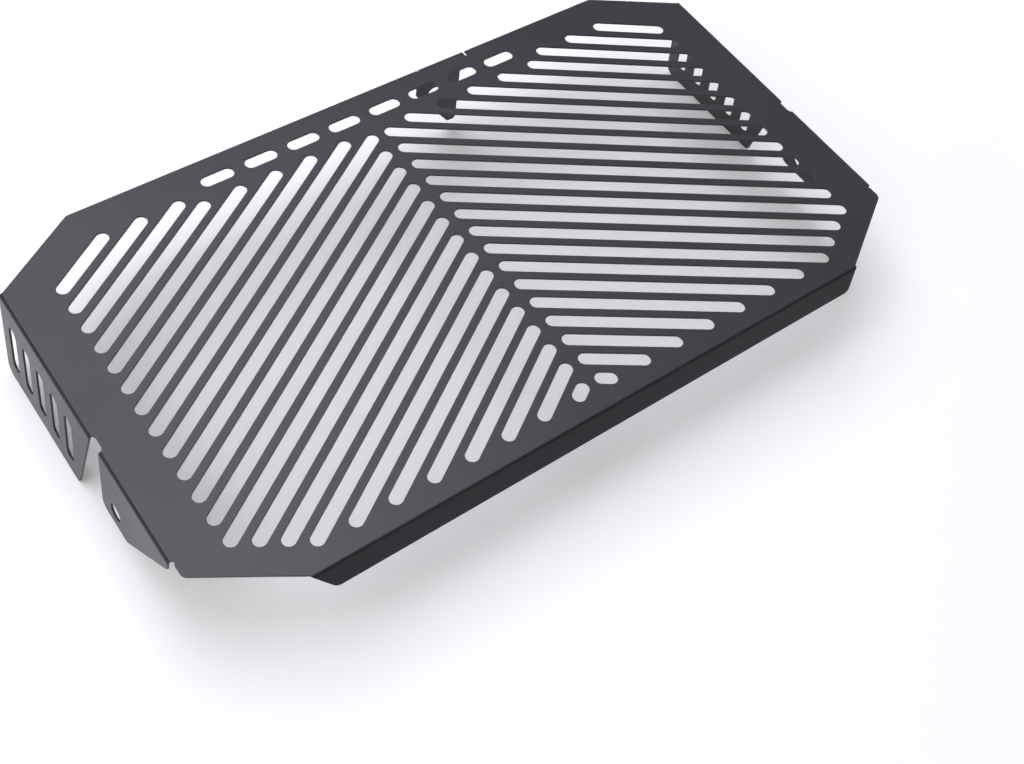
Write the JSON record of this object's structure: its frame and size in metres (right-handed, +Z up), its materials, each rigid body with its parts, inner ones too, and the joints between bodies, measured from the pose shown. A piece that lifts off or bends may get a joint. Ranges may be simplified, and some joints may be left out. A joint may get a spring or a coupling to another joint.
{
  "type": "motorcycle radiator guard",
  "caption": "Folded sheet-metal radiator guard: an octagonal plate with a mirrored chevron of slots, slotted side flanges, bolt tabs, a front lip and a rear tab.",
  "frame": {"origin": "on the level of the side flanges' feet, the guard's lowest edges, below the middle of its outline seen from above", "axes": "+X along the plate, towards the side of the seam that has the rear tab; +Y towards the back edge with the rear tab; +Z up out of the plate's outer face"},
  "size_m": [0.3792, 0.2086, 0.0498],
  "materials": {
    "black_powder_coat": "fine-grained satin black powder coat"
  },
  "bodies": {
    "root": {"radiator_guard": "black_powder_coat"}
  },
  "joints": []
}
